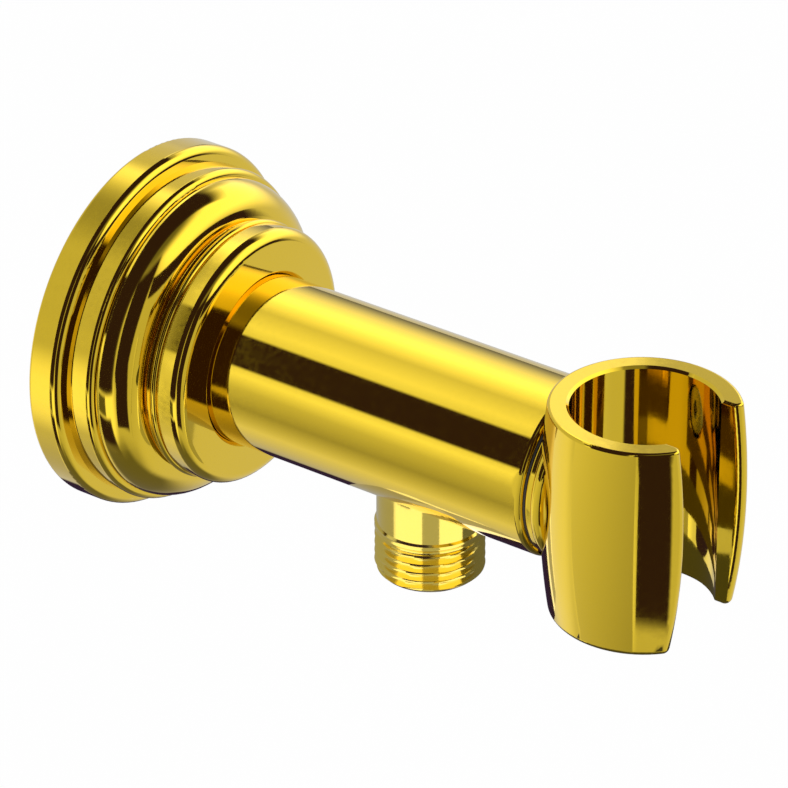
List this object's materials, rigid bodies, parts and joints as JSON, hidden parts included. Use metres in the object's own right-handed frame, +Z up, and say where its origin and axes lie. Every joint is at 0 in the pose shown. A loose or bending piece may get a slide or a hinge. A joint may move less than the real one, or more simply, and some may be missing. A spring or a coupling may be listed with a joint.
{
  "type": "hand shower holder",
  "caption": "Wall-mounted hand shower holder: stepped round flange, straight round arm with a threaded hose outlet below and a slotted cup at the end that swivels on the arm.",
  "frame": {"origin": "the wall's surface on the axis of the arm and of the inlet thread", "axes": "+X out of the wall along the arm, +Z up, the hose outlet points to -Z"},
  "size_m": [0.1456, 0.0716, 0.0714],
  "materials": {
    "polished_gold": "polished",
    "plain_brass": "turned",
    "black_rubber": "matte",
    "grey_nylon": "matte",
    "dark_nylon": "matte",
    "white_plastic": "moulded",
    "steel": "bright"
  },
  "bodies": {
    "fixed": {"wall_flange": "polished_gold", "arm_body": "polished_gold", "hose_nipple": "polished_gold", "inlet_connector": "plain_brass", "flange_o_ring": "black_rubber", "flange_gasket": "black_rubber", "inlet_o_ring_rear": "black_rubber", "inlet_o_ring_front": "black_rubber", "nipple_seal": "grey_nylon", "check_valve_body": "white_plastic", "check_valve_cap": "white_plastic", "check_valve_o_ring": "black_rubber", "check_valve_spring": "steel", "friction_washer": "dark_nylon", "thrust_washer": "dark_nylon", "spring_washer": "steel", "holder_screw": "steel", "lock_screw": "steel"},
    "holder": {"holder_cup": "polished_gold"},
    "valve_poppet": {"check_valve_poppet": "white_plastic", "check_valve_seal": "black_rubber"}
  },
  "joints": [
    {"name": "holder_swivel", "type": "hinge", "parent": "fixed", "child": "holder", "pos_m": [0.099, 0, 0], "axis": [1, 0, 0], "continuous": true},
    {"name": "check_valve_slide", "type": "slide", "parent": "fixed", "child": "valve_poppet", "axis": [0, 0, -1], "range_m": [0, 0.0015], "stiffness_N_per_m": 200, "springref_m": -0.001, "deforming": ["check_valve_spring"]}
  ]
}
